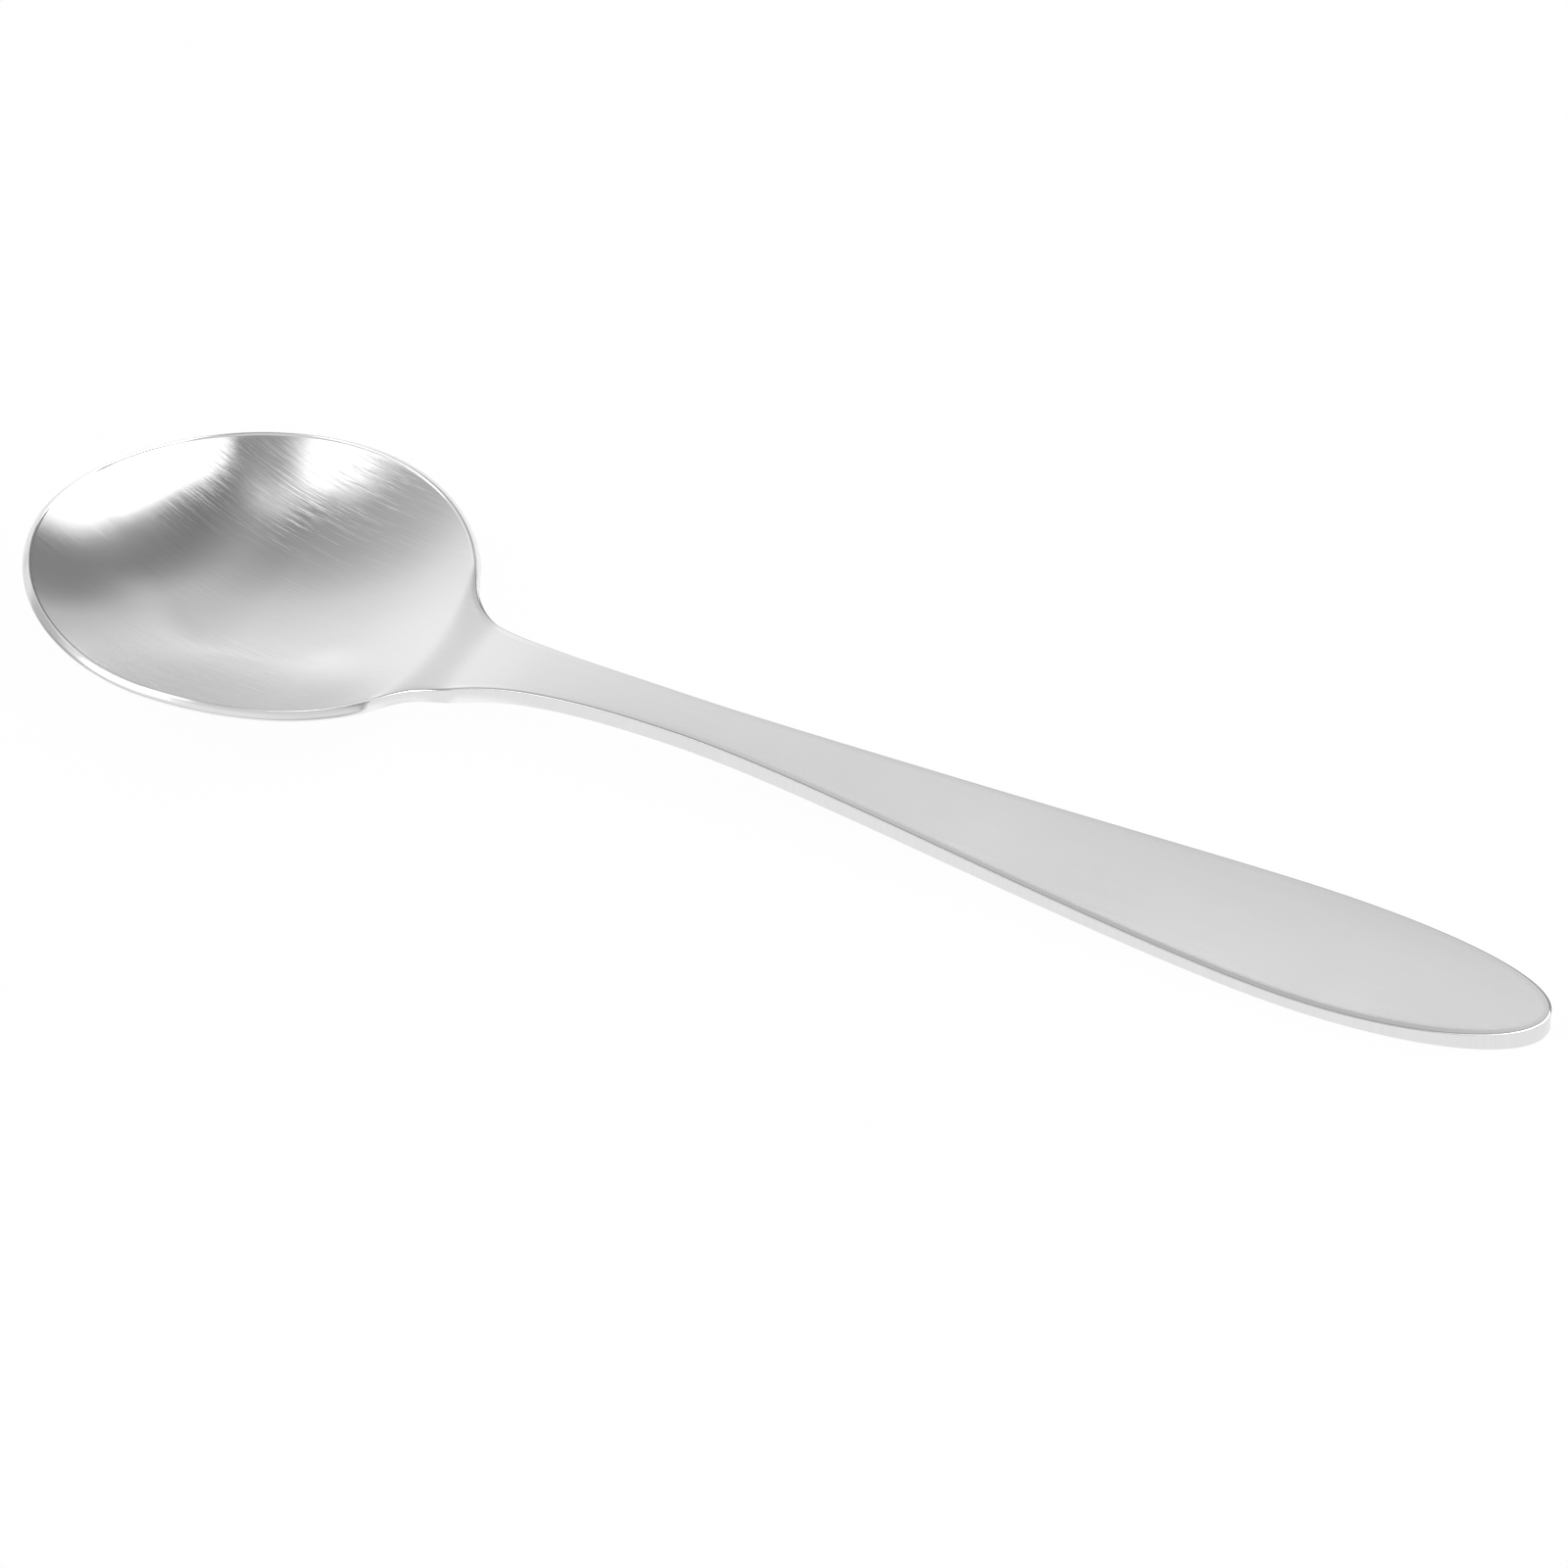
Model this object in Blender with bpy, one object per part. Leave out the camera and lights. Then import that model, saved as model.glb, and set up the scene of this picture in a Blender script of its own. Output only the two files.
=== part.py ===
"""Table spoon pressed from one piece of stainless steel: bowl, neck and handle.

Metres, +Z up. The spoon lies as on a table: it rests on the flat under its bowl and on the flat
under the end of its handle, both at Z = 0. Its length runs along X, with the bowl towards -X.
"""
import math

import bmesh
import bpy
from mathutils import Vector
from mathutils.geometry import interpolate_bezier

# Driving dimensions. Places along the spoon are measured from the tip of the upper face.
LENGTH = 0.180                  # tip of the bowl to the end of the handle
BOWL_FRONT = 0.0264             # tip to the widest place of the bowl
BOWL_BACK = 0.0242              # widest place to the back of the bowl's oval
BOWL_WIDTH = 0.0458             # between the inner edges of the rim
BOWL_DEPTH = 0.0074             # rim to the lowest point inside
DISH_BACK = 0.0360              # widest place to where the dish would reach the rim's height again
NECK_AFTER_BOWL = 0.0296        # back of the oval to the narrowest place
NECK_WIDTH = 0.0062
HANDLE_WIDTH = 0.0168
END_ROUNDING = 0.0268           # widest place of the handle to its end

# Heights of the side profile.
RIM_TILT = 0.0124               # rise over run with which the rim climbs towards the handle
NECK_DROP = 0.00346             # the foot of the neck lies this far under the widest place of the rim
FOOT_AFTER_BOWL = 0.0035        # back of the oval to the foot of the neck
NECK_BEND = 0.005               # radius by which the neck's face bends up clear of the bowl
NECK_RISE = 0.1454              # rise over run with which the handle leaves the foot
RISE_FADING = 4                 # power by which that rise dies out along the handle
HANDLE_CROWN = 0.0009           # the middle of the handle stands above its edges by this much

# Thickness of the metal.
RIM_THICKNESS = 0.0012          # across the slanting face of the rim
BOWL_THICKNESS = 0.00176        # under the deepest point
NECK_THICKNESS = 0.0022
NECK_SWELL = 0.013              # run from the shoulder over which the metal thickens to the neck's
END_THICKNESS = 0.00256
EDGE_ROUNDING = 0.00020         # radius of the edges of the rim and handle
REST_TRIM = 0.00018             # ground off underneath to make the two flats

# Fullness of the curves.
FRONT_ROUNDNESS = 1.87          # exponent of the oval in front of the widest place; 2 is an ellipse
BACK_ROUNDNESS = 2.20
END_ROUNDNESS = 2.07
DISH_FLARE = 0.20               # share by which the dish eases towards the rim; 0 is a parabola
RIM_LEAN = 2.7                  # the rim's face leans out this much more than one square to the wall
LEAN_SPREAD = 4                 # power by which that lean dies out towards the middle of the bowl
SHOULDER_ANGLE = math.radians(134)   # round the oval from its tip, where the neck's fillet starts
LIP_ROUNDING = 0.0030           # softens the edge between the bowl's wall and the neck's face
FILLET_START = 0.0118           # reach of the fillet's curve along the oval
TAPER_REACH = 0.229             # share of the handle's run that each end of its taper keeps straight

# Mesh density.
BOWL_ROWS = 34
FILLET_ROWS = 12
HANDLE_ROWS = 18
END_ROWS = 12
COLUMNS = 22
EDGE_SEGMENTS = 2               # of each rounded edge
WALL_RINGS = 2 * EDGE_SEGMENTS + 1      # an edge above, the flat of the wall and an edge below
MERGE_DISTANCE = 1e-6
SMALL_STEP = 1e-5               # along the face, to read its slope and the outline's heading

BOWL_LENGTH = BOWL_FRONT + BOWL_BACK
RIM_HEIGHT = BOWL_DEPTH + BOWL_THICKNESS - REST_TRIM
NECK_AT = BOWL_LENGTH + NECK_AFTER_BOWL
FOOT_AT = BOWL_LENGTH + FOOT_AFTER_BOWL
FOOT_HEIGHT = RIM_HEIGHT - NECK_DROP
TIP_SLOPE = 2 * (1 - DISH_FLARE) * BOWL_DEPTH / BOWL_FRONT - RIM_TILT
RIM_OVERHANG = (RIM_THICKNESS - EDGE_ROUNDING) * math.sin(math.atan(RIM_LEAN * TIP_SLOPE))
FACE_LENGTH = LENGTH - RIM_OVERHANG     # of the upper face, from the inner edge of the rim
WIDEST_AT = FACE_LENGTH - END_ROUNDING
END_HEIGHT = END_THICKNESS - REST_TRIM


def oval_point(angle):
    """Point of the bowl's oval, with the angle counted from the tip round to the back."""
    front = math.cos(angle) > 0
    reach = -BOWL_FRONT if front else BOWL_BACK
    power = 2 / (FRONT_ROUNDNESS if front else BACK_ROUNDNESS)
    along = BOWL_FRONT + reach * abs(math.cos(angle)) ** power
    return Vector((along, BOWL_WIDTH / 2 * math.sin(angle) ** power))


def end_point(angle):
    """Point of the handle's round end, with the angle counted from its widest place."""
    power = 2 / END_ROUNDNESS
    along = WIDEST_AT + END_ROUNDING * math.sin(angle) ** power
    return Vector((along, HANDLE_WIDTH / 2 * max(math.cos(angle), 0.0) ** power))


SHOULDER = oval_point(SHOULDER_ANGLE)


def half_outline():
    """Points of the far half of the outline, from the tip of the bowl to the end of the handle."""
    points = [oval_point(SHOULDER_ANGLE * row / BOWL_ROWS) for row in range(BOWL_ROWS + 1)]
    heading = (SHOULDER - oval_point(SHOULDER_ANGLE - SMALL_STEP / BOWL_WIDTH)).normalized()
    neck = Vector((NECK_AT, NECK_WIDTH / 2))
    widest = Vector((WIDEST_AT, HANDLE_WIDTH / 2))
    forward = Vector((1, 0))
    sweep = (NECK_AT - SHOULDER.x) * forward
    taper = TAPER_REACH * (WIDEST_AT - NECK_AT) * forward
    points += interpolate_bezier(SHOULDER, SHOULDER + FILLET_START * heading, neck - sweep, neck,
                                 FILLET_ROWS + 1)[1:]
    points += interpolate_bezier(neck, neck + taper, widest - taper, widest, HANDLE_ROWS + 1)[1:]
    points += [end_point(math.pi / 2 * row / END_ROWS) for row in range(1, END_ROWS + 1)]
    return points


def edge_lines():
    """Points along the far edge of the upper face, each with the direction outwards from it."""
    outline = half_outline()
    mirrored = Vector((1, -1))
    around = [outline[1] * mirrored, *outline, outline[-2] * mirrored]
    lines = []
    for before, point, after in zip(around, around[1:], around[2:]):
        heading = (after - before).normalized()
        outward = Vector((-heading.y, heading.x))
        lines.append((point - EDGE_ROUNDING * outward, outward))
    return lines


def ease(value):
    """Smooth step from 0 to 1."""
    share = min(max(value, 0.0), 1.0)
    return share * share * (3 - 2 * share)


def soft_min(a, b, softness):
    """Lower of two heights, with the corner between them rounded."""
    share = min(max(0.5 + 0.5 * (b - a) / softness, 0.0), 1.0)
    return b + (a - b) * share - softness * share * (1 - share)


def oval_share(x, y):
    """How far out a place lies in the dish: 0 at the deepest point, 1 where it is as high as the rim."""
    front = x < BOWL_FRONT
    power = FRONT_ROUNDNESS if front else BACK_ROUNDNESS
    along = abs(x - BOWL_FRONT) / (BOWL_FRONT if front else DISH_BACK)
    across = abs(y) / (BOWL_WIDTH / 2)
    return (along ** power + across ** power) ** (1 / power)


def dish_height(x, y):
    share = oval_share(x, y) ** 2
    inside = min(share, 1.0)
    rise = share + DISH_FLARE * (inside * (2 - inside) - share)
    return RIM_HEIGHT + RIM_TILT * (x - BOWL_FRONT) - BOWL_DEPTH * (1 - rise)


def centre_height(x):
    """Top of the neck and handle along their middle, with the neck's bend run on over the bowl."""
    past = x - FOOT_AT
    if past < 0:
        return FOOT_HEIGHT + NECK_RISE * past + past ** 2 / (2 * NECK_BEND)
    run = FACE_LENGTH - FOOT_AT
    share = past / run
    rising = share * (1 - share) ** RISE_FADING * run * NECK_RISE
    return FOOT_HEIGHT + (END_HEIGHT - FOOT_HEIGHT) * ease(share) + rising


def handle_share(x):
    """0 over the bowl, 1 from the narrowest place of the neck on."""
    return ease((x - SHOULDER.x) / (NECK_AT - SHOULDER.x))


def crown_fall(x, y):
    """How far the handle's face falls from its middle to a place beside it."""
    return HANDLE_CROWN * handle_share(x) * (y / (HANDLE_WIDTH / 2)) ** 2


def top_height(x, y):
    return soft_min(dish_height(x, y), centre_height(x) - crown_fall(x, y), LIP_ROUNDING)


def thickness(x, y):
    """Metal thickness: thin at the rim, full in the neck, and flat underneath along the handle."""
    bowl = BOWL_THICKNESS + (RIM_THICKNESS - BOWL_THICKNESS) * min(oval_share(x, y), 1.0)
    along = min(max((x - NECK_AT) / (FACE_LENGTH - NECK_AT), 0.0), 1.0)
    handle = NECK_THICKNESS + (END_THICKNESS - NECK_THICKNESS) * along - crown_fall(x, y)
    return bowl + (handle - bowl) * ease((x - SHOULDER.x) / NECK_SWELL)


def through_metal(x, y):
    """Way from the upper face to the lower one: square to the bowl, straight down in the handle."""
    rise_x = top_height(x + SMALL_STEP, y) - top_height(x - SMALL_STEP, y)
    rise_y = top_height(x, y + SMALL_STEP) - top_height(x, y - SMALL_STEP)
    leaning = 1 + (RIM_LEAN - 1) * min(oval_share(x, y), 1.0) ** LEAN_SPREAD
    lean = leaning * (handle_share(x) - 1) / (2 * SMALL_STEP)
    return -thickness(x, y) * Vector((lean * rise_x, lean * rise_y, 1)).normalized()


def steel():
    material = bpy.data.materials.new("brushed_steel")
    material.use_nodes = True
    shader = material.node_tree.nodes["Principled BSDF"]
    shader.inputs["Base Color"].default_value = (0.76, 0.76, 0.76, 1)
    shader.inputs["Metallic"].default_value = 1.0
    shader.inputs["Roughness"].default_value = 0.32
    return material


def wall_point(point, outward, ring):
    """Point of the wall round the spoon, with the rings counted from the upper face down."""
    through = through_metal(point.x, point.y)
    down = through.normalized()
    out = Vector((outward.x, outward.y, 0))
    out = (out - out.dot(down) * down).normalized()
    from_below = WALL_RINGS - ring
    angle = math.pi / 2 * min(ring, from_below) / EDGE_SEGMENTS
    sunk = EDGE_ROUNDING * (1 - math.cos(angle))
    if from_below < ring:
        sunk = through.length - sunk
    top = Vector((point.x, point.y, top_height(point.x, point.y)))
    return top + EDGE_ROUNDING * math.sin(angle) * out + sunk * down


def spoon_blank():
    """Upper face grown down through the metal, with a wall round it whose edges are rounded."""
    edge = edge_lines()
    rows = len(edge) - 1
    blank = bmesh.new()
    row_of = blank.verts.layers.float.new("row")
    depth_of = blank.verts.layers.float.new("depth")
    bmesh.ops.create_grid(blank, x_segments=rows, y_segments=COLUMNS, size=1)
    for vert in blank.verts:
        row = round((vert.co.x + 1) / 2 * rows)
        vert[row_of] = math.copysign(row, vert.co.y)
        point, _ = edge[row]
        x, y = point.x, point.y * vert.co.y
        vert.co = (x, y, top_height(x, y))
    bmesh.ops.remove_doubles(blank, verts=blank.verts, dist=MERGE_DISTANCE)
    grown = bmesh.ops.extrude_face_region(blank, geom=blank.faces[:], use_keep_orig=True)
    for vert in grown["geom"]:
        if isinstance(vert, bmesh.types.BMVert):
            vert[depth_of] = 1
            vert.co += through_metal(vert.co.x, vert.co.y)
    wall = [line for line in blank.edges if line.verts[0][depth_of] != line.verts[1][depth_of]]
    bmesh.ops.subdivide_edges(blank, edges=wall, cuts=WALL_RINGS - 1)
    for vert in blank.verts:
        if 0 < vert[depth_of] < 1:
            point, outward = edge[round(abs(vert[row_of]))]
            side = Vector((1, math.copysign(1, vert[row_of])))
            vert.co = wall_point(point * side, outward * side, round(vert[depth_of] * WALL_RINGS))
    bmesh.ops.recalc_face_normals(blank, faces=blank.faces[:])
    mesh = bpy.data.meshes.new("spoon")
    blank.to_mesh(mesh)
    blank.free()
    return bpy.data.objects.new("spoon", mesh)


def rest_cutter():
    """Block under Z = 0 that grinds the two flats the spoon rests on."""
    bpy.ops.mesh.primitive_cube_add(size=1)
    cutter = bpy.context.object
    cutter.name = "rest_cutter"
    cutter.scale = (2 * LENGTH, 2 * BOWL_WIDTH, BOWL_DEPTH)
    cutter.location.z = -BOWL_DEPTH / 2
    cutter.hide_render = True
    cutter.display_type = "WIRE"
    return cutter


def build():
    for old in list(bpy.data.objects):
        bpy.data.objects.remove(old, do_unlink=True)
    parts = bpy.data.collections.new("table_spoon")
    cutters = bpy.data.collections.new("cutters")
    bpy.context.scene.collection.children.link(parts)
    bpy.context.scene.collection.children.link(cutters)

    cutter = rest_cutter()
    for holder in list(cutter.users_collection):
        holder.objects.unlink(cutter)
    cutters.objects.link(cutter)

    spoon = spoon_blank()
    parts.objects.link(spoon)
    spoon.location.x = RIM_OVERHANG - LENGTH / 2
    spoon.data.materials.append(steel())
    spoon.data.shade_smooth()

    flats = spoon.modifiers.new("rest_flats", "BOOLEAN")
    flats.operation = "DIFFERENCE"
    flats.object = cutter


build()
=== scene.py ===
"""Table spoon of brushed steel on a white floor, laid out as a Blender add-on.

Metres, +Z up. The spoon lies along X with its bowl towards -X, and stands in for the CAD node
spoon. SpoonForm measures places along it from the tip of its upper face.
"""
import math

import bmesh
import bpy
from bpy.props import FloatProperty, FloatVectorProperty, PointerProperty
from mathutils import Matrix, Vector
from mathutils.geometry import interpolate_bezier
from mathutils.kdtree import KDTree


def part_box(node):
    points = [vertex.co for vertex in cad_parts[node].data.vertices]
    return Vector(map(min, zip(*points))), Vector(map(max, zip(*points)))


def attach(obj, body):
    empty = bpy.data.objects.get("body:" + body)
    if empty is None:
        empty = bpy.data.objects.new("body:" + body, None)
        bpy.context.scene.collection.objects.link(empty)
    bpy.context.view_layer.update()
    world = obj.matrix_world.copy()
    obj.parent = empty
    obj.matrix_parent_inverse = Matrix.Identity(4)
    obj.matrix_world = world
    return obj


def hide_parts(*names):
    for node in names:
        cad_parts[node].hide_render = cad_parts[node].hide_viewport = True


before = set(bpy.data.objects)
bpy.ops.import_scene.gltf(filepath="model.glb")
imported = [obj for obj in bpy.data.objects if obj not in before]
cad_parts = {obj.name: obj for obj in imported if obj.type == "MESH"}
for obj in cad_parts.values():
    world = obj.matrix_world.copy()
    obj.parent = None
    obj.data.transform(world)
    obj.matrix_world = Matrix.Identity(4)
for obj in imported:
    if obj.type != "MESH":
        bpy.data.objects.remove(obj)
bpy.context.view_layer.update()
SPOON_LOW, SPOON_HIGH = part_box("spoon")

bl_info = {
    "name": "Table Spoon",
    "version": (1, 0, 0),
    "blender": (4, 5, 0),
    "location": "View3D > Sidebar > Spoon",
    "description": "Presses a table spoon from brushed steel and lights it on a white floor",
    "category": "Add Mesh",
}

# Rows of the blank along the spoon, by the stretch of the outline that they lie on.
BOWL_ROWS = 96
FILLET_ROWS = 44
HANDLE_ROWS = 60
END_ROWS = 36
COLUMNS = 56
EDGE_SEGMENTS = 4               # of each arc of the rounded edges
WALL_SEGMENTS = 3               # of the flat between them
MERGE_DISTANCE = 1e-6
CUT_THRESHOLD = 1e-8
SMALL_STEP = 1e-5               # along the face, to read its slope and the outline's heading
LEAN_SPREAD = 4                 # power by which the rim's lean dies out towards the bowl's middle
SHARP_ANGLE = math.radians(40)

# Zones of the steel in metres, each from where it starts to where it is full.
SATIN_FROM = (-0.052, -0.040)   # along X: the handle's satin
TIP_FROM = (-0.074, -0.086)     # the duller tip of the bowl
LINES_FROM = (-0.082, -0.070)   # brush lines at full depth
PAINTED_LIGHT_FROM = (-0.080, -0.070)    # painted light: paler, rougher steel on the bowl's near wall, over a dark reflection
PAINTED_LIGHT_TO = (-0.044, -0.052)
PAINTED_LIGHT_NEAR = (0.0, -0.006)       # across, along Y
PAINTED_LIGHT_INWARD = (0.0160, 0.0115)  # in from the outline
POLISH_FROM = (0.0010, 0.0003)
SIDE_FROM = (0.0004, 0.0001)

# Noise of the brushing. Broad and fine lines are given as multiples of one brush line.
LINE_DETAIL, LINE_ROUGHNESS = 2.0, 0.6
LINE_RISE = (0.48, 0.70)        # noise levels between which a line stands up
BROAD_WIDTH, BROAD_LENGTH, BROAD_DETAIL = 4, 3, 1.0
BROAD_RISE = (0.3, 0.7)
FINE_WIDTH, FINE_LENGTH = 0.5, 2
FAINTEST = 0.2                  # share of the depth that is left in the faintest lines
HANDLE_CALM = 0.96              # share of the depth that the handle's satin takes away
CLOUD_SCALE, CLOUD_DETAIL, CLOUD_ROUGHNESS = 60.0, 3.0, 0.5
NOISE_MIDDLE = 0.5
LINE_DULLING, CLOUD_DULLING = 0.10, 0.06
LINE_TONE, CLOUD_TONE = 0.08, 0.04

# Zones of the studio by direction, as run over rise: away is towards the bowl's end (-X), beyond is
# towards the far side (+Y). Each pair runs from where a zone starts to where it is full.
WALL_EDGE = (-0.03, 0.24)       # wall past the bowl, brighter towards its foot
WALL_FOOT = (0.1, 1.4)
WALL_SLANT, WALL_SLANT_START = 0.22, 0.29
SHADE_AWAY = 0.41               # oval of shade overhead
SHADE_LENGTH, SHADE_WIDTH = 0.35, 0.44
SHADE_REACH, SHADE_DIMMING = (0, 2), 0.46
FAR_END, FAR_DIMMING = (3, 9), 0.22
NEAR_SIDE, NEAR_LIGHT = (-0.25, -0.5), 0.8
NEAR_FOOT, NEAR_DIMMING = (-1.0, -2.2), 0.45

# The corner of the wall past the bowl, and the low light past the handle's end.
CORNER_AWAY, CORNER_BEYOND, CORNER_DIMMING = (1.5, 2.0), (0.8, 0.2), 0.4
HANDLE_AWAY, HANDLE_BEYOND, HANDLE_LIGHT = (-1.5, -3.0), (-0.5, 0.5), 0.4

# The bright patch overhead and the glow beside it, each with a rise and a fall.
PATCH_AWAY = ((0.18, 0.38), (0.60, 0.48))
PATCH_BEYOND = ((-0.04, -0.16), (-0.6, -0.4))
GLOW_AWAY = ((0.05, 0.17), (0.36, 0.26))
GLOW_BEYOND = ((-0.10, -0.045), (0.08, -0.03))

# Soft panels that face down: name, place, turn in degrees, width, height, and the setting that
# gives their brightness.
PANELS = (
    ("strip_panel", (1.255, 1.504, 2.00), 1.9, 2.00, 2.14, "panel_light"),
    ("top_panel", (0.586, -0.033, 1.96), -32.0, 1.18, 0.96, "panel_light"),
    ("joining_panel", (0.475, 0.539, 1.98), -12.6, 0.59, 0.85, "panel_light"),
    ("near_panel", (-1.86, -1.02, 2.0), 0, 1.80, 0.36, "side_light"),
)
FLOOR_SIZE = 12
SENSOR_WIDTH = 36.0             # millimetres


def length(name, description, default):
    return FloatProperty(name=name, description=description, default=default, min=0.0, precision=5,
                         subtype="DISTANCE", unit="LENGTH")


def turn(name, description, degrees):
    return FloatProperty(name=name, description=description, default=math.radians(degrees),
                         subtype="ANGLE", unit="ROTATION")


def share(name, description, default):
    return FloatProperty(name=name, description=description, default=default, min=0.0, max=1.0,
                         subtype="FACTOR")


def number(name, description, default):
    return FloatProperty(name=name, description=description, default=default, precision=4)


class SpoonSizes(bpy.types.PropertyGroup):
    """Sizes of the pressed spoon"""

    length: length("Length", "Tip of the bowl to the end of the handle",
                   SPOON_HIGH[0] - SPOON_LOW[0])
    bowl_front: length("Bowl Front", "Tip to the widest place of the bowl", 0.0264)
    bowl_back: length("Bowl Back", "Widest place to the back of the bowl's oval", 0.0242)
    bowl_width: length("Bowl Width", "Between the inner edges of the rim", 0.0458)
    bowl_depth: length("Bowl Depth", "Rim to the lowest point inside", 0.0074)
    dish_back: length("Dish Back", "Widest place to where the dish would reach the rim's height",
                      0.0360)
    neck_after_bowl: length("Neck After Bowl", "Back of the oval to the narrowest place", 0.0296)
    neck_width: length("Neck Width", "Width at the narrowest place", 0.0062)
    handle_width: length("Handle Width", "Width at the widest place of the handle", 0.0168)
    end_rounding: length("End Rounding", "Widest place of the handle to its end", 0.0268)
    neck_drop: length("Neck Drop", "Foot of the neck below the widest place of the rim", 0.00346)
    foot_after_bowl: length("Foot After Bowl", "Back of the oval to the foot of the neck", 0.0035)
    neck_bend: length("Neck Bend", "Radius of the bend from the bowl to the neck", 0.005)
    handle_crown: length("Handle Crown", "Middle of the handle above its edges", 0.0009)
    rim_thickness: length("Rim Thickness", "Across the slanting face of the rim", 0.0012)
    bowl_thickness: length("Bowl Thickness", "Metal under the deepest point", 0.00176)
    neck_thickness: length("Neck Thickness", "Metal in the neck", 0.0022)
    neck_swell: length("Neck Swell", "Run over which the metal thickens to the neck's", 0.013)
    end_thickness: length("End Thickness", "Metal at the end of the handle", 0.00256)
    edge_rounding: length("Edge Rounding", "Rounding of the lower edges", 0.00020)
    roll_width: length("Roll Width", "Shallow roll by which the upper face meets its edge", 0.00030)
    roll_angle: turn("Roll Angle", "Slope that the roll ends with", 24)
    corner_rounding: length("Corner Rounding", "Radius from the roll to the side", 0.00008)
    rest_trim: length("Rest Trim", "Ground off underneath for the two flats", 0.00018)
    lip_rounding: length("Lip Rounding", "Softness of the edge between bowl and neck", 0.0030)
    fillet_start: length("Fillet Start", "Reach of the shoulder's curve along the oval", 0.0118)
    shoulder_angle: turn("Shoulder Angle", "Round the oval from its tip to where the neck starts",
                         134)
    rim_tilt: number("Rim Tilt", "Rise over run with which the rim climbs to the handle", 0.0124)
    neck_rise: number("Neck Rise", "Rise over run with which the handle leaves the bowl", 0.1454)
    rise_fading: number("Rise Fading", "Power by which that rise dies out", 4.0)
    front_roundness: number("Front Roundness", "Exponent of the oval in front; 2 is an ellipse",
                            1.87)
    back_roundness: number("Back Roundness", "Exponent of the oval behind", 2.20)
    end_roundness: number("End Roundness", "Exponent of the handle's end", 2.07)
    rim_lean: number("Rim Lean", "Lean of the rim's face, against one square to the wall", 2.7)
    dish_flare: share("Dish Flare", "How far the dish eases towards the rim; 0 is a parabola", 0.20)
    taper_reach: share("Taper Reach", "Share of the handle's run kept straight at each end", 0.229)


class SteelFinish(bpy.types.PropertyGroup):
    """Colours and brushing of the steel"""

    colour: FloatVectorProperty(name="Steel Colour", description="Colour of the bare steel",
                                default=(0.76, 0.76, 0.76), min=0.0, max=1.0, subtype="COLOR")
    bowl_roughness: share("Bowl Roughness", "Roughness inside the brushed bowl", 0.09)
    handle_roughness: share("Handle Roughness", "Roughness of the satin handle", 0.36)
    edge_roughness: share("Edge Roughness", "Roughness of the polished edges", 0.14)
    tip_dulling: share("Tip Dulling", "Roughness added at the tip of the bowl", 0.05)
    # Painted light: the near wall's paleness and added roughness stand in for light over its dark
    # reflection.
    painted_light_dulling: share("Painted Light Dulling", "Roughness added on the bowl's worn near wall", 0.16)
    painted_light_paleness: share("Painted Light Paleness", "How much paler that wall is", 0.22)
    handle_paleness: share("Handle Paleness", "How much paler the handle is", 0.20)
    brush_angle: turn("Brush Angle", "Turn of the bowl's brushing from the spoon's length", -10)
    brush_width: length("Brush Width", "Across one brush line", 0.00010)
    brush_length: length("Brush Length", "Along one brush line", 0.008)
    brush_depth: length("Brush Depth", "Depth of the brush lines as they catch light", 0.0000035)


class StudioSettings(bpy.types.PropertyGroup):
    """Camera, lamps and floor"""

    floor_colour: FloatVectorProperty(name="Floor Colour", description="Colour of the floor",
                                      default=(0.92, 0.92, 0.92), min=0.0, max=1.0, subtype="COLOR")
    floor_glow: share("Floor Glow", "Share of the floor's white that is plain background", 0.97)
    camera_azimuth: turn("Camera Azimuth", "Turn of the view round the spoon", 27.8373)
    camera_elevation: turn("Camera Elevation", "Height angle of the view", 42.6001)
    camera_roll: turn("Camera Roll", "Tilt of the view", 2.1105)
    camera_distance: length("Camera Distance", "From the middle of the spoon", 0.634769)
    camera_right: number("Camera Right", "Metres that the picture's middle lies right of it",
                         0.0020827)
    camera_up: number("Camera Up", "Metres that the picture's middle lies above it", -0.0000542)
    camera_lens: number("Camera Lens", "Focal length in millimetres", 135.0)
    panel_light: number("Panel Light", "Brightness of the three large panels", 1.9)
    side_light: number("Side Light", "Brightness of the near panel and of the patch overhead", 1.8)
    glow_light: number("Glow Light", "Brightness added beside that patch", 0.42)
    shade_light: number("Shade Light", "Brightness of the unlit side of the studio", 0.26)
    wall_light: number("Wall Light", "Brightness of the wall past the bowl", 0.62)
    wall_rise: number("Wall Rise", "How much that wall brightens towards its foot", 0.36)


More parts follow.
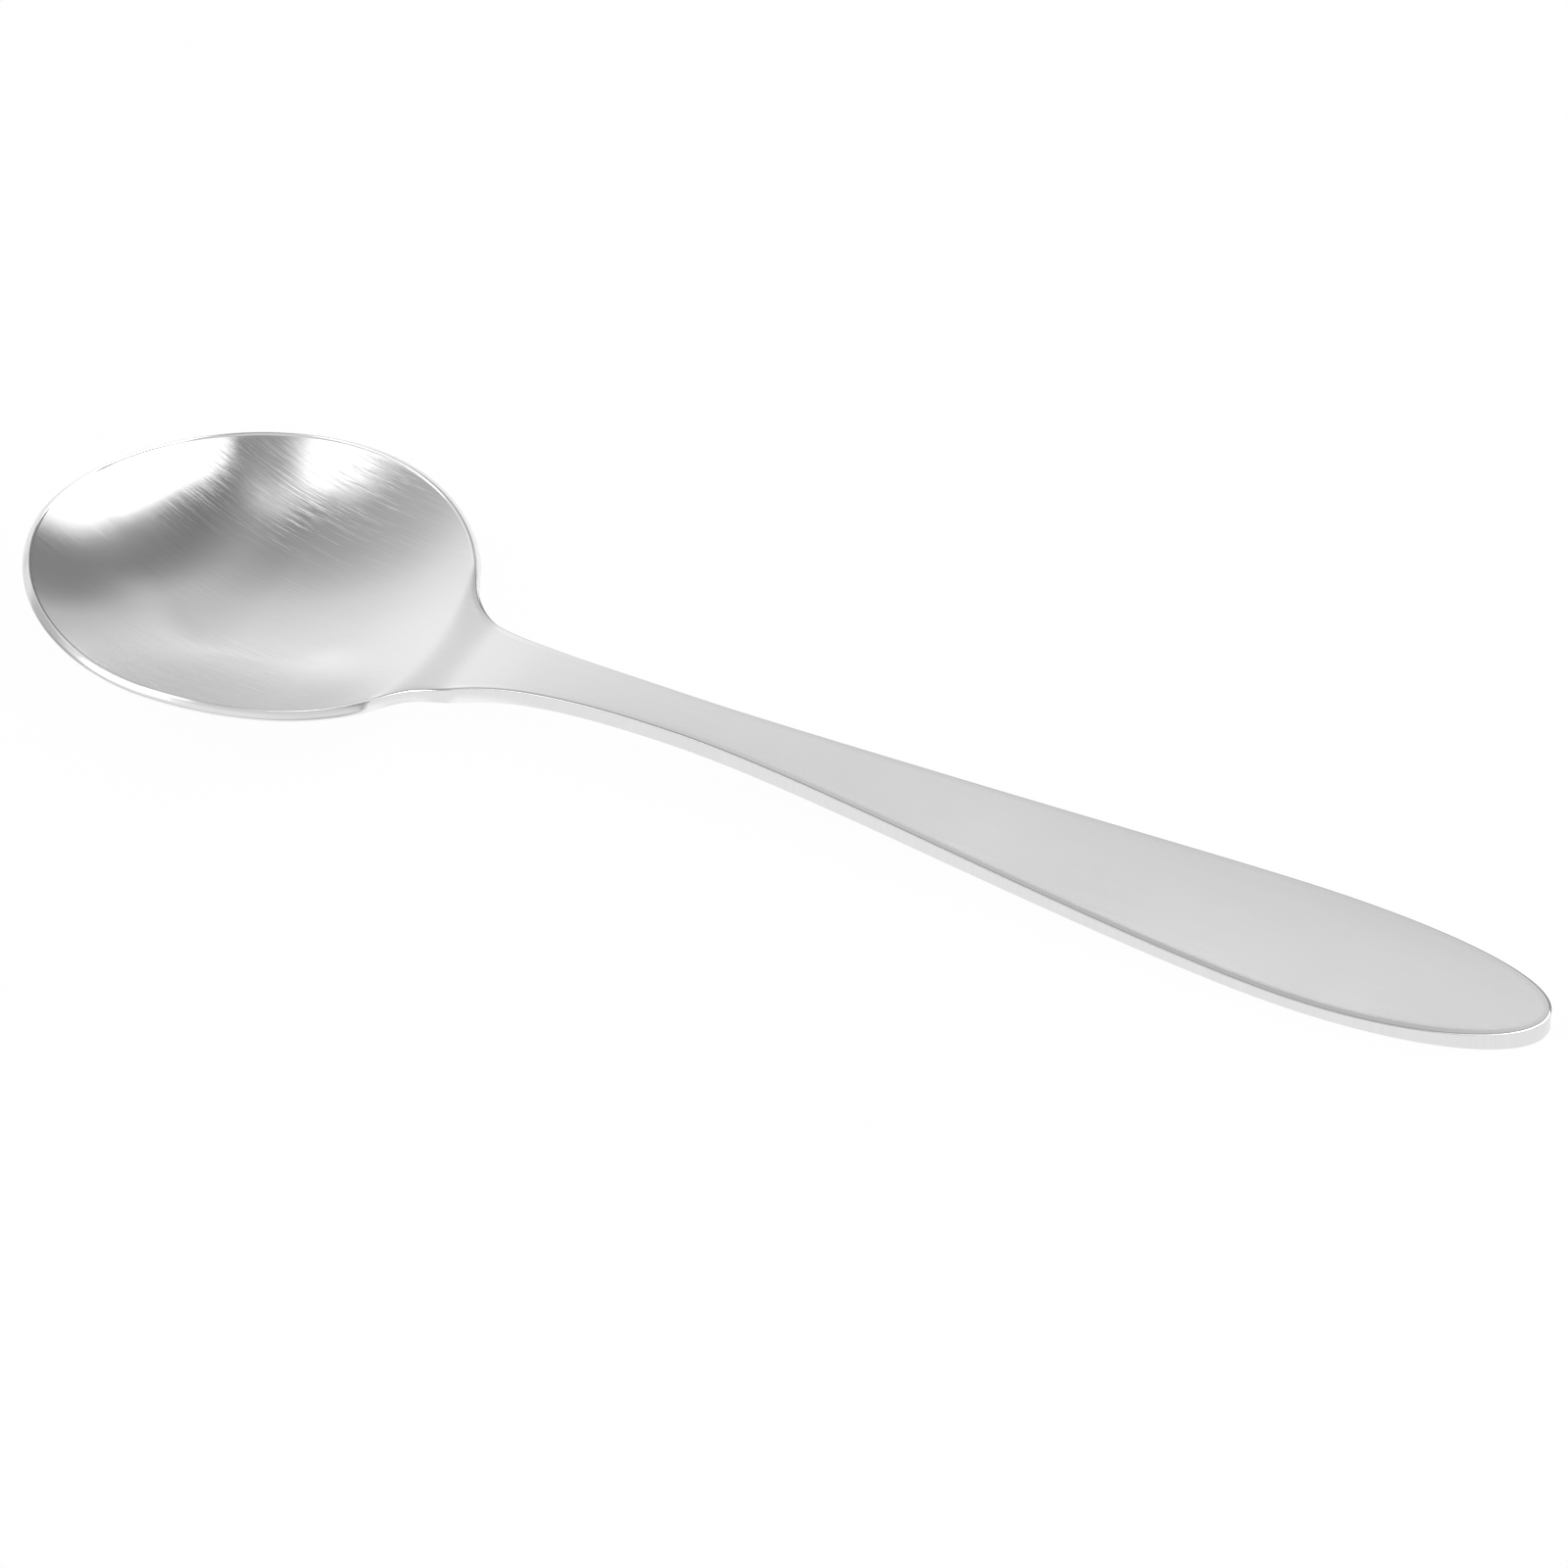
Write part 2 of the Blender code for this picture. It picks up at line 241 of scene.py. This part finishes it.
class Wire:
    """Output of a shader node. Arithmetic on it adds Math nodes, and node() adds any other node."""

    def __init__(self, tree, output):
        self.tree, self.output = tree, output

    def __getitem__(self, name):
        return Wire(self.tree, self.output.node.outputs[name])

    @classmethod
    def node(cls, tree, kind, settings=None, **sockets):
        """Adds a node: its settings first, then a value or a wire for each socket by name."""
        made = tree.nodes.new(kind)
        for name, value in (settings or {}).items():
            setattr(made, name, value)
        for name, value in sockets.items():
            socket = made.inputs[int(name[1:]) if name[1:].isdigit() else name.replace("_", " ")]
            if isinstance(value, Wire):
                tree.links.new(value.output, socket)
            else:
                socket.default_value = value
        return cls(tree, made.outputs[0]) if made.outputs else None

    def math(self, operation, first, second):
        return Wire.node(self.tree, "ShaderNodeMath", {"operation": operation}, _0=first, _1=second)

    def __add__(self, other):
        return self.math("ADD", self, other)

    def __radd__(self, other):
        return self.math("ADD", other, self)

    def __sub__(self, other):
        return self.math("SUBTRACT", self, other)

    def __rsub__(self, other):
        return self.math("SUBTRACT", other, self)

    def __mul__(self, other):
        return self.math("MULTIPLY", self, other)

    def __rmul__(self, other):
        return self.math("MULTIPLY", other, self)

    def __truediv__(self, other):
        return self.math("DIVIDE", self, other)

    def __rtruediv__(self, other):
        return self.math("DIVIDE", other, self)

    def ramp(self, start, end):
        """Smooth rise from 0 at start to 1 at end."""
        return Wire.node(self.tree, "ShaderNodeMapRange", {"interpolation_type": "SMOOTHSTEP"},
                         Value=self, From_Min=start, From_Max=end)

    def band(self, rise, fall):
        """1 between a rise and a fall, each from where it is 0 to where it is 1."""
        return self.ramp(*rise) * self.ramp(*fall)


class SpoonForm:
    """Outline, upper face and thickness of the spoon, worked out from its sizes."""

    def __init__(self, sizes):
        self.s = s = sizes
        self.half_width = s.bowl_width / 2
        bowl_length = s.bowl_front + s.bowl_back
        self.rim_height = s.bowl_depth + s.bowl_thickness - s.rest_trim
        self.neck_at = bowl_length + s.neck_after_bowl
        self.foot_at = bowl_length + s.foot_after_bowl
        self.foot_height = self.rim_height - s.neck_drop
        tip_slope = 2 * (1 - s.dish_flare) * s.bowl_depth / s.bowl_front - s.rim_tilt
        tip_lean = math.atan(s.rim_lean * tip_slope)
        self.rim_overhang = (s.rim_thickness - s.edge_rounding) * math.sin(tip_lean)
        self.face_length = s.length - self.rim_overhang
        self.widest_at = self.face_length - s.end_rounding
        self.end_height = s.end_thickness - s.rest_trim
        self.shoulder = self.oval_point(s.shoulder_angle)
        self.edge_inset = s.roll_width + s.corner_rounding * (1 - math.sin(s.roll_angle))
        self.wall_steps = self.upper_edge() + self.lower_edge()

    def oval_point(self, angle):
        """Point of the bowl's oval, with the angle counted from the tip round to the back."""
        s = self.s
        front = math.cos(angle) > 0
        reach = -s.bowl_front if front else s.bowl_back
        power = 2 / (s.front_roundness if front else s.back_roundness)
        along = s.bowl_front + reach * abs(math.cos(angle)) ** power
        return Vector((along, self.half_width * math.sin(angle) ** power))

    def end_point(self, angle):
        """Point of the handle's round end, with the angle counted from its widest place."""
        power = 2 / self.s.end_roundness
        along = self.widest_at + self.s.end_rounding * math.sin(angle) ** power
        return Vector((along, self.s.handle_width / 2 * max(math.cos(angle), 0.0) ** power))

    def half_outline(self):
        """Points of the far half of the outline, from the bowl's tip to the end of the handle."""
        s, shoulder = self.s, self.shoulder
        points = [self.oval_point(s.shoulder_angle * row / BOWL_ROWS)
                  for row in range(BOWL_ROWS + 1)]
        before = self.oval_point(s.shoulder_angle - SMALL_STEP / s.bowl_width)
        heading = (shoulder - before).normalized()
        neck = Vector((self.neck_at, s.neck_width / 2))
        widest = Vector((self.widest_at, s.handle_width / 2))
        forward = Vector((1, 0))
        sweep = (self.neck_at - shoulder.x) * forward
        taper = s.taper_reach * (self.widest_at - self.neck_at) * forward
        points += interpolate_bezier(shoulder, shoulder + s.fillet_start * heading, neck - sweep,
                                     neck, FILLET_ROWS + 1)[1:]
        points += interpolate_bezier(neck, neck + taper, widest - taper, widest,
                                     HANDLE_ROWS + 1)[1:]
        points += [self.end_point(math.pi / 2 * row / END_ROWS) for row in range(1, END_ROWS + 1)]
        return points

    def upper_edge(self):
        """Steps out, down and through the metal from the upper face: a roll and a tight corner."""
        s = self.s
        sine, cosine = math.sin(s.roll_angle), math.cos(s.roll_angle)
        radius = s.roll_width / sine
        steps = []
        for part in range(1, EDGE_SEGMENTS + 1):
            angle = s.roll_angle * part / EDGE_SEGMENTS
            steps.append((radius * math.sin(angle), radius * (1 - math.cos(angle)), 0.0))
        rolled = radius * (1 - cosine)
        for part in range(1, EDGE_SEGMENTS + 1):
            angle = s.roll_angle + (math.pi / 2 - s.roll_angle) * part / EDGE_SEGMENTS
            steps.append((s.roll_width + s.corner_rounding * (math.sin(angle) - sine),
                          rolled + s.corner_rounding * (cosine - math.cos(angle)), 0.0))
        return steps

    def lower_edge(self):
        """Steps of the same kind down the side and round the lower edge."""
        corner = self.upper_edge()[-1][1]
        steps = []
        for part in range(1, WALL_SEGMENTS + 1):
            through = part / WALL_SEGMENTS
            down = corner * (1 - through) - self.s.edge_rounding * through
            steps.append((self.edge_inset, down, through))
        for part in range(1, EDGE_SEGMENTS):
            angle = math.pi / 2 * part / EDGE_SEGMENTS
            steps.append((self.edge_inset * math.cos(angle),
                          self.s.edge_rounding * (math.sin(angle) - 1), 1.0))
        return steps

    def edge_lines(self):
        """Points along the far half of the upper face's edge, each with its outward direction."""
        outline = self.half_outline()
        mirrored = Vector((1, -1))
        around = [outline[1] * mirrored, *outline, outline[-2] * mirrored]
        lines = []
        for before, point, after in zip(around, around[1:], around[2:]):
            heading = (after - before).normalized()
            outward = Vector((-heading.y, heading.x))
            lines.append((point - self.edge_inset * outward, outward))
        return lines

    def wall_point(self, point, outward, ring):
        """Point of the wall round the spoon, with the rings counted from the upper face down."""
        top = Vector((point.x, point.y, self.top_height(point.x, point.y)))
        through = self.through_metal(point.x, point.y)
        down = through.normalized()
        out = Vector((outward.x, outward.y, 0))
        out = (out - out.dot(down) * down).normalized()
        step_out, step_down, step_through = self.wall_steps[ring - 1]
        return top + step_out * out + step_down * down + step_through * through

    def oval_share(self, x, y):
        """How far out a place lies in the dish: 0 at the deepest point, 1 at the rim's height."""
        s = self.s
        front = x < s.bowl_front
        power = s.front_roundness if front else s.back_roundness
        along = abs(x - s.bowl_front) / (s.bowl_front if front else s.dish_back)
        return (along ** power + (abs(y) / self.half_width) ** power) ** (1 / power)

    def centre_height(self, x):
        """Top of the neck and handle along their middle; the neck's bend runs on over the bowl."""
        s = self.s
        past = x - self.foot_at
        if past < 0:
            return self.foot_height + s.neck_rise * past + past ** 2 / (2 * s.neck_bend)
        run = self.face_length - self.foot_at
        part = past / run
        rising = part * max(1 - part, 0.0) ** s.rise_fading * run * s.neck_rise
        return self.foot_height + (self.end_height - self.foot_height) * ease(part) + rising

    def handle_share(self, x):
        """0 over the bowl, 1 from the narrowest place of the neck on."""
        return ease((x - self.shoulder.x) / (self.neck_at - self.shoulder.x))

    def crown_fall(self, x, y):
        """How far the handle's face falls from its middle to a place beside it."""
        return self.s.handle_crown * self.handle_share(x) * (y / (self.s.handle_width / 2)) ** 2

    def top_height(self, x, y):
        """Height of the upper face: the dish, under the neck's face where that is lower."""
        share = self.oval_share(x, y) ** 2
        inside = min(share, 1.0)
        rise = share + self.s.dish_flare * (inside * (2 - inside) - share)
        rim = self.rim_height + self.s.rim_tilt * (x - self.s.bowl_front)
        dish = rim - self.s.bowl_depth * (1 - rise)
        face = self.centre_height(x) - self.crown_fall(x, y)
        part = clamp(0.5 + 0.5 * (face - dish) / self.s.lip_rounding)
        return face + (dish - face) * part - self.s.lip_rounding * part * (1 - part)

    def thickness(self, x, y):
        """Metal thickness: thin at the rim, full in the neck, level underneath the handle."""
        s = self.s
        outward = min(self.oval_share(x, y), 1.0)
        bowl = s.bowl_thickness + (s.rim_thickness - s.bowl_thickness) * outward
        along = clamp((x - self.neck_at) / (self.face_length - self.neck_at))
        handle = s.neck_thickness + (s.end_thickness - s.neck_thickness) * along
        handle -= self.crown_fall(x, y)
        return bowl + (handle - bowl) * ease((x - self.shoulder.x) / s.neck_swell)

    def through_metal(self, x, y):
        """Way to the lower face: square to the bowl's wall, straight down in the handle."""
        rise_x = self.top_height(x + SMALL_STEP, y) - self.top_height(x - SMALL_STEP, y)
        rise_y = self.top_height(x, y + SMALL_STEP) - self.top_height(x, y - SMALL_STEP)
        leaning = 1 + (self.s.rim_lean - 1) * min(self.oval_share(x, y), 1.0) ** LEAN_SPREAD
        lean = leaning * (self.handle_share(x) - 1) / (2 * SMALL_STEP)
        return -self.thickness(x, y) * Vector((lean * rise_x, lean * rise_y, 1)).normalized()


def clamp(value):
    return min(max(value, 0.0), 1.0)


def ease(value):
    """Smooth step from 0 to 1."""
    part = clamp(value)
    return part * part * (3 - 2 * part)


def press_blank(form):
    """Grid pressed to the spoon's upper face, grown through the metal, with its edges rounded."""
    edge = form.edge_lines()
    rows = len(edge) - 1
    bpy.ops.object.select_all(action="DESELECT")
    bpy.ops.mesh.primitive_grid_add(x_subdivisions=rows, y_subdivisions=COLUMNS, size=2)
    spoon = bpy.context.object
    spoon.name = spoon.data.name = "spoon_steel"
    for name in ("row", "depth"):
        spoon.data.attributes.new(name, "FLOAT", "POINT")
    bpy.ops.object.mode_set(mode="EDIT")
    blank = bmesh.from_edit_mesh(spoon.data)
    row_layer = blank.verts.layers.float["row"]
    for vert in blank.verts:
        row = round((vert.co.x + 1) / 2 * rows)
        point = edge[row][0]
        x, y = point.x, point.y * math.sin(math.pi / 2 * vert.co.y)
        vert[row_layer] = math.copysign(row, vert.co.y)
        vert.co = (x, y, form.top_height(x, y))
    for end in (0, rows):
        tip = edge[end][0]
        for vert in blank.verts:
            if abs(vert[row_layer]) == end:
                vert.co = (tip.x, 0, form.top_height(tip.x, 0))
    bmesh.update_edit_mesh(spoon.data)
    bpy.ops.mesh.select_all(action="SELECT")
    bpy.ops.mesh.remove_doubles(threshold=MERGE_DISTANCE)

    bpy.ops.mesh.extrude_region()
    blank = bmesh.from_edit_mesh(spoon.data)
    depth_layer = blank.verts.layers.float["depth"]
    for vert in blank.verts:
        if vert.select:
            vert[depth_layer] = 1
            vert.co += form.through_metal(vert.co.x, vert.co.y)
    bpy.ops.mesh.select_mode(type="EDGE")
    bpy.ops.mesh.select_all(action="DESELECT")
    for line in blank.edges:
        line.select = line.verts[0][depth_layer] != line.verts[1][depth_layer]
    bmesh.update_edit_mesh(spoon.data)
    rings = len(form.wall_steps) + 1
    bpy.ops.mesh.subdivide_edgering(number_cuts=rings - 1, interpolation="LINEAR")
    blank = bmesh.from_edit_mesh(spoon.data)
    row_layer, depth_layer = (blank.verts.layers.float[name] for name in ("row", "depth"))
    for vert in blank.verts:
        if 0 < vert[depth_layer] < 1:
            row = vert[row_layer]
            side = Vector((1, math.copysign(1, row)))
            point, outward = edge[round(abs(row))]
            ring = round(vert[depth_layer] * rings)
            vert.co = form.wall_point(point * side, outward * side, ring)
    bmesh.update_edit_mesh(spoon.data)
    bpy.ops.mesh.select_all(action="SELECT")
    bpy.ops.mesh.normals_make_consistent(inside=False)
    bpy.ops.transform.translate(value=(form.rim_overhang - form.s.length / 2, 0, 0))
    bpy.ops.object.mode_set(mode="OBJECT")
    return spoon


def grind_flats(spoon):
    """Cuts the spoon level underneath, which leaves the two flats that it rests on."""
    bpy.ops.object.mode_set(mode="EDIT")
    bpy.ops.mesh.select_all(action="SELECT")
    bpy.ops.mesh.bisect(plane_co=(0, 0, 0), plane_no=(0, 0, 1), use_fill=True, clear_inner=True,
                        threshold=CUT_THRESHOLD)
    bpy.ops.mesh.select_all(action="SELECT")
    bpy.ops.mesh.normals_make_consistent(inside=False)
    bpy.ops.object.mode_set(mode="OBJECT")
    bpy.ops.object.shade_smooth_by_angle(angle=SHARP_ANGLE)


def mark_edge(spoon, form):
    """Writes each point's distance from the outline to an attribute that the steel reads."""
    shift = Vector((form.rim_overhang - form.s.length / 2, 0, 0))
    outline = form.half_outline()
    near = KDTree(2 * len(outline))
    for side in (1, -1):
        for point in outline:
            near.insert(Vector((point.x, side * point.y, 0)) + shift, 0)
    near.balance()
    attribute = spoon.data.attributes.new("edge_distance", "FLOAT", "POINT")
    for vert in spoon.data.vertices:
        attribute.data[vert.index].value = near.find(Vector((vert.co.x, vert.co.y, 0)))[2]


def brushed_steel(finish):
    """Steel brushed nearly lengthwise: clear lines in the bowl, satin handle, bright edges."""
    steel = bpy.data.materials.new("brushed_steel_spoon")
    steel.use_nodes = True
    tree = steel.node_tree
    shader = tree.nodes["Principled BSDF"]
    shader.inputs["Metallic"].default_value = 1.0

    def node(kind, settings=None, **sockets):
        return Wire.node(tree, kind, settings, **sockets)

    place = node("ShaderNodeTexCoord")["Object"]
    along = node("ShaderNodeSeparateXYZ", Vector=place)
    edge_distance = node("ShaderNodeAttribute", {"attribute_name": "edge_distance"})["Fac"]
    handle = along.ramp(*SATIN_FROM)
    edge = edge_distance.ramp(*POLISH_FROM)
    side = edge_distance.ramp(*SIDE_FROM)
    # Painted light: a paler, rougher zone on the bowl's near wall lifts the dark reflection that
    # falls there.
    painted_light = edge_distance.ramp(*PAINTED_LIGHT_INWARD) * along["Y"].ramp(*PAINTED_LIGHT_NEAR)
    painted_light = painted_light * along.band(PAINTED_LIGHT_FROM, PAINTED_LIGHT_TO)

    def brushing(angle, width, run, detail):
        """Noise drawn out into lines."""
        turned = node("ShaderNodeMapping", {"vector_type": "TEXTURE"}, Vector=place,
                      Rotation=(0, 0, angle), Scale=(run, width, 1))
        return node("ShaderNodeTexNoise", {"noise_dimensions": "2D"}, Vector=turned, Scale=1.0,
                    Detail=detail, Roughness=LINE_ROUGHNESS)

    angle, width, run = finish.brush_angle, finish.brush_width, finish.brush_length
    bowl_lines = brushing(angle, width, run, LINE_DETAIL)
    broad_lines = brushing(angle, BROAD_WIDTH * width, BROAD_LENGTH * run, BROAD_DETAIL)
    handle_lines = brushing(0, FINE_WIDTH * width, FINE_LENGTH * run, LINE_DETAIL)
    clouds = node("ShaderNodeTexNoise", Vector=place, Scale=CLOUD_SCALE, Detail=CLOUD_DETAIL,
                  Roughness=CLOUD_ROUGHNESS)

    def faded(mask):
        """The mask with some depth left where it is 0."""
        return mask * (1 - FAINTEST) + FAINTEST

    lines = bowl_lines + (handle_lines - bowl_lines) * handle
    depth = faded(broad_lines.ramp(*BROAD_RISE)) * (1 - handle * HANDLE_CALM) * (1 - edge)
    depth = depth * faded(along.ramp(*LINES_FROM))
    bump = node("ShaderNodeBump", Height=lines.ramp(*LINE_RISE) * depth, Strength=1.0,
                Distance=finish.brush_depth)

    line_sway, cloud_sway = lines - NOISE_MIDDLE, clouds - NOISE_MIDDLE
    satin = finish.handle_roughness - finish.bowl_roughness
    rough = finish.bowl_roughness + handle * satin + painted_light * finish.painted_light_dulling
    rough = rough + along.ramp(*TIP_FROM) * finish.tip_dulling
    rough = rough + cloud_sway * CLOUD_DULLING + line_sway * LINE_DULLING
    rough = rough + (finish.edge_roughness - rough) * edge
    # The paler handle, and the painted light on the bowl's near wall, both kept off the sides.
    paler = (handle * finish.handle_paleness + painted_light * finish.painted_light_paleness) * (1 - side)
    tone = 1 + line_sway * LINE_TONE + cloud_sway * CLOUD_TONE + paler
    colour = node("ShaderNodeVectorMath", {"operation": "SCALE"}, Vector=tuple(finish.colour),
                  Scale=tone)
    tree.links.new(colour.output, shader.inputs["Base Color"])
    tree.links.new(rough.output, shader.inputs["Roughness"])
    tree.links.new(bump.output, shader.inputs["Normal"])
    return steel


class TABLESPOON_OT_press_spoon(bpy.types.Operator):
    """Press the spoon from one blank and finish it in brushed steel"""

    bl_idname = "table_spoon.press_spoon"
    bl_label = "Press Spoon"

    def execute(self, context):
        form = SpoonForm(context.scene.spoon_sizes)
        spoon = press_blank(form)
        grind_flats(spoon)
        mark_edge(spoon, form)
        spoon.data.materials.append(brushed_steel(context.scene.spoon_finish))
        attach(spoon, "root")
        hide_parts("spoon")
        return {"FINISHED"}


def add_panel(name, place, turned, width, height, brightness):
    """Soft panel overhead that faces down, as bright as a surface of that strength."""
    bpy.ops.object.light_add(type="AREA", location=place, rotation=(0, 0, math.radians(turned)))
    panel = bpy.context.object
    panel.name = panel.data.name = name
    panel.data.shape = "RECTANGLE"
    panel.data.size, panel.data.size_y = width, height
    panel.data.energy = math.pi * width * height * brightness
    panel.visible_camera = False


def add_camera(studio):
    """Camera that looks at the spoon from the azimuth, elevation and distance of the settings."""
    a, e, roll = studio.camera_azimuth, studio.camera_elevation, studio.camera_roll
    back = Vector((math.sin(a) * math.cos(e), -math.cos(a) * math.cos(e), math.sin(e)))
    right = Vector((math.cos(a), math.sin(a), 0))
    up = back.cross(right)
    place = back * studio.camera_distance + right * studio.camera_right + up * studio.camera_up
    sine, cosine = math.sin(roll), math.cos(roll)
    axes = (cosine * right - sine * up, sine * right + cosine * up, back)
    bpy.ops.object.camera_add()
    camera = bpy.context.object
    camera.matrix_world = Matrix.Translation(place) @ Matrix(axes).transposed().to_4x4()
    camera.data.lens = studio.camera_lens
    camera.data.sensor_width = SENSOR_WIDTH
    bpy.context.scene.camera = camera


def white_floor(studio):
    """Floor: white to the eye and to the metal, with a little lamp light left for the shadow."""
    white = bpy.data.materials.new("white_floor")
    white.use_nodes = True
    tree = white.node_tree
    tree.nodes.clear()

    def node(kind, settings=None, **sockets):
        return Wire.node(tree, kind, settings, **sockets)

    rays = node("ShaderNodeLightPath")
    seen = rays["Is Camera Ray"] + rays["Is Glossy Ray"] + rays["Is Transmission Ray"]
    lit = node("ShaderNodeBsdfDiffuse", Color=(*studio.floor_colour, 1))
    plain = node("ShaderNodeEmission", Color=(1, 1, 1, 1), Strength=1.0)
    mixed = node("ShaderNodeMixShader", Fac=seen * studio.floor_glow, _1=lit, _2=plain)
    node("ShaderNodeOutputMaterial", Surface=mixed)
    return white


def studio_world(studio):
    """Light all round: a wall past the bowl, shade and a patch overhead, and a pale near side."""
    world = bpy.data.worlds.new("studio")
    world.use_nodes = True
    tree = world.node_tree
    tree.nodes.clear()

    def node(kind, settings=None, **sockets):
        return Wire.node(tree, kind, settings, **sockets)

    way = node("ShaderNodeSeparateXYZ", Vector=node("ShaderNodeTexCoord")["Generated"])
    away, beyond = way["X"] / way["Z"] * -1, way["Y"] / way["Z"]

    slant = beyond * WALL_SLANT - WALL_SLANT_START
    inner = away - slant.math("MAXIMUM", slant, 0.0)
    wall = inner.ramp(*WALL_EDGE) * (studio.wall_light - studio.shade_light)
    level = studio.shade_light + wall + inner.ramp(*WALL_FOOT) * studio.wall_rise

    spread = node("ShaderNodeCombineXYZ", X=(away - SHADE_AWAY) / SHADE_LENGTH,
                  Y=beyond / SHADE_WIDTH)
    overhead = node("ShaderNodeVectorMath", {"operation": "LENGTH"}, Vector=spread)["Value"]
    level = level * (1 - SHADE_DIMMING + overhead.ramp(*SHADE_REACH) * SHADE_DIMMING)
    level = level * (1 - beyond.ramp(*FAR_END) * FAR_DIMMING)
    level = level + (NEAR_LIGHT - level) * beyond.ramp(*NEAR_SIDE)
    corner = away.ramp(*CORNER_AWAY) * beyond.ramp(*CORNER_BEYOND)
    level = level * (1 - corner * CORNER_DIMMING)
    level = level + away.ramp(*HANDLE_AWAY) * beyond.ramp(*HANDLE_BEYOND) * HANDLE_LIGHT
    level = level * (1 - beyond.ramp(*NEAR_FOOT) * NEAR_DIMMING)

    level = level + away.band(*PATCH_AWAY) * beyond.band(*PATCH_BEYOND) * studio.side_light
    level = level + away.band(*GLOW_AWAY) * beyond.band(*GLOW_BEYOND) * studio.glow_light
    light = node("ShaderNodeBackground", Color=(1, 1, 1, 1), Strength=level)
    node("ShaderNodeOutputWorld", Surface=light)
    bpy.context.scene.world = world


class TABLESPOON_OT_light_studio(bpy.types.Operator):
    """Set the floor, the soft panels, the world and the camera"""

    bl_idname = "table_spoon.light_studio"
    bl_label = "Light Studio"

    def execute(self, context):
        studio = context.scene.spoon_studio
        add_camera(studio)
        bpy.ops.object.select_all(action="DESELECT")
        bpy.ops.mesh.primitive_plane_add(size=FLOOR_SIZE)
        floor = bpy.context.object
        floor.name = floor.data.name = "floor"
        floor.data.materials.append(white_floor(studio))
        for *panel, setting in PANELS:
            add_panel(*panel, getattr(studio, setting))
        studio_world(studio)
        context.scene.view_settings.view_transform = "Standard"
        return {"FINISHED"}


class TABLESPOON_PT_panel(bpy.types.Panel):
    """Sizes, finish and studio of the table spoon"""

    bl_label = "Table Spoon"
    bl_space_type = "VIEW_3D"
    bl_region_type = "UI"
    bl_category = "Spoon"

    def draw(self, context):
        scene = context.scene
        for operator, settings in (
            (TABLESPOON_OT_press_spoon, (scene.spoon_sizes, scene.spoon_finish)),
            (TABLESPOON_OT_light_studio, (scene.spoon_studio,)),
        ):
            box = self.layout.box()
            for group in settings:
                for name in group.__annotations__:
                    box.prop(group, name)
            box.operator(operator.bl_idname)


GROUPS = {"spoon_sizes": SpoonSizes, "spoon_finish": SteelFinish, "spoon_studio": StudioSettings}
CLASSES = (*GROUPS.values(), TABLESPOON_OT_press_spoon, TABLESPOON_OT_light_studio,
           TABLESPOON_PT_panel)


def register():
    for cls in CLASSES:
        bpy.utils.register_class(cls)
    for name, group in GROUPS.items():
        setattr(bpy.types.Scene, name, PointerProperty(type=group))


def unregister():
    for name in GROUPS:
        delattr(bpy.types.Scene, name)
    for cls in reversed(CLASSES):
        bpy.utils.unregister_class(cls)


def main():
    register()
    bpy.ops.table_spoon.press_spoon()
    bpy.ops.table_spoon.light_studio()


if __name__ == "__main__":
    main()
